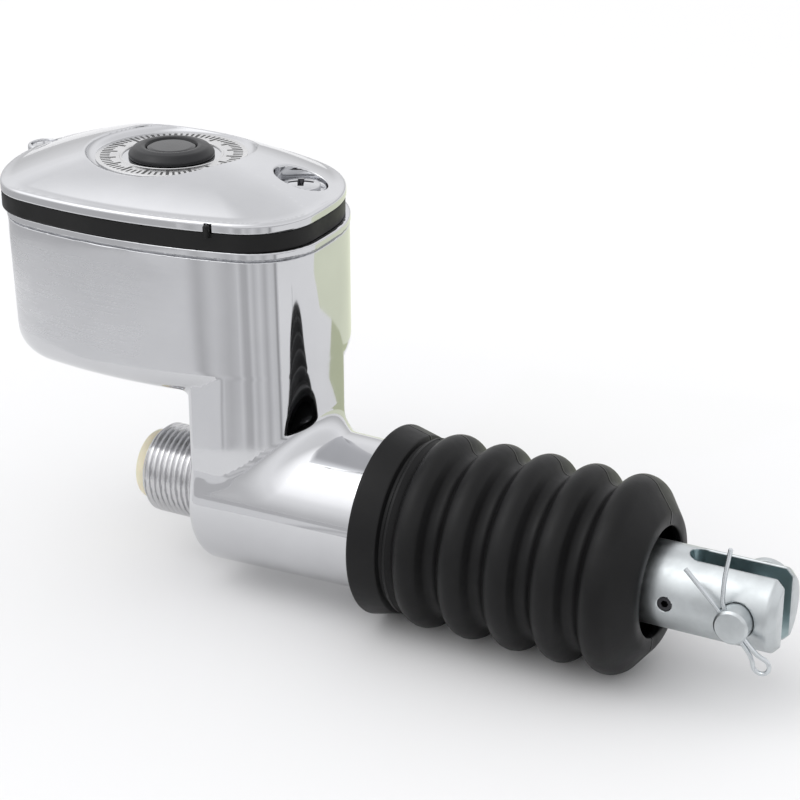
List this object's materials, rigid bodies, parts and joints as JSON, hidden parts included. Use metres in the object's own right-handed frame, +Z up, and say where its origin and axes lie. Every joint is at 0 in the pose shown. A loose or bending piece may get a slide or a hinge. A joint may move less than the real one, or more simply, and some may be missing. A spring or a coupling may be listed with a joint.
{
  "type": "brake master cylinder",
  "caption": "Foot brake master cylinder: chromed casting with upright domed reservoir, threaded mounting stud, rubber bellows and a clevis on the push rod.",
  "frame": {"origin": "on the bore axis at the mounting shoulder, where the threaded stud leaves the casting", "axes": "+X along the bore towards the clevis, +Z up towards the reservoir's cover, +Y away from the viewer's side of the casting"},
  "size_m": [0.2086, 0.0651, 0.1018],
  "materials": {
    "polished_casting": "polished, chrome plated casting",
    "machined_stud": "bright machined",
    "zinc_plate": "bright zinc plate",
    "spring_steel": "oiled spring steel",
    "dark_steel": "black oxide",
    "screw_steel": "bright plated",
    "boot_rubber": "satin moulded rubber",
    "seal_rubber": "smooth rubber",
    "plug_plastic": "cream moulded plastic",
    "bezel_plastic": "satin dark plastic",
    "lens_plastic": "gloss tinted plastic",
    "printed_ring": "satin with printed ticks",
    "retainer_brass": "turned brass"
  },
  "bodies": {
    "housing": {"reservoir_body": "polished_casting", "cartridge_body": "machined_stud", "cartridge_o_rings": "seal_rubber", "port_plug": "plug_plastic", "return_spring": "spring_steel", "stop_washer": "zinc_plate", "snap_ring": "dark_steel", "rod_wiper": "seal_rubber", "pedal_return_spring": "spring_steel", "bellows_boot": "boot_rubber", "cover_gasket": "seal_rubber", "reservoir_cover": "polished_casting", "cover_screw": "screw_steel", "ear_screw": "screw_steel", "index_ring": "printed_ring", "sight_glass_seal": "seal_rubber", "sight_glass_lens": "lens_plastic", "sight_glass_bezel": "bezel_plastic"},
    "piston_set": {"piston": "machined_stud", "spring_retainer": "retainer_brass", "primary_cup": "seal_rubber", "secondary_cup": "seal_rubber"},
    "push_rod_set": {"push_rod": "zinc_plate", "jam_nut": "zinc_plate", "spring_seat": "zinc_plate", "seat_ring": "dark_steel", "clevis": "zinc_plate", "set_screw": "dark_steel"},
    "pin_set": {"clevis_pin": "zinc_plate", "cotter_pin": "zinc_plate"}
  },
  "joints": [
    {"name": "piston_stroke", "type": "slide", "parent": "housing", "child": "piston_set", "axis": [-1, 0, 0], "range_m": [0, 0.013], "stiffness_N_per_m": 900, "springref_m": -0.004, "deforming": ["return_spring", "pedal_return_spring", "bellows_boot"]},
    {"name": "push_rod_tilt", "type": "hinge", "parent": "piston_set", "child": "push_rod_set", "pos_m": [0.04, 0, 0], "axis": [0, 1, 0], "range_deg": [-2, 2], "stiffness_Nm_per_rad": 3, "deforming": ["pedal_return_spring"]},
    {"name": "clevis_pin_turn", "type": "hinge", "parent": "push_rod_set", "child": "pin_set", "pos_m": [0.1336, 0, 0], "axis": [0, 1, 0], "continuous": true}
  ]
}
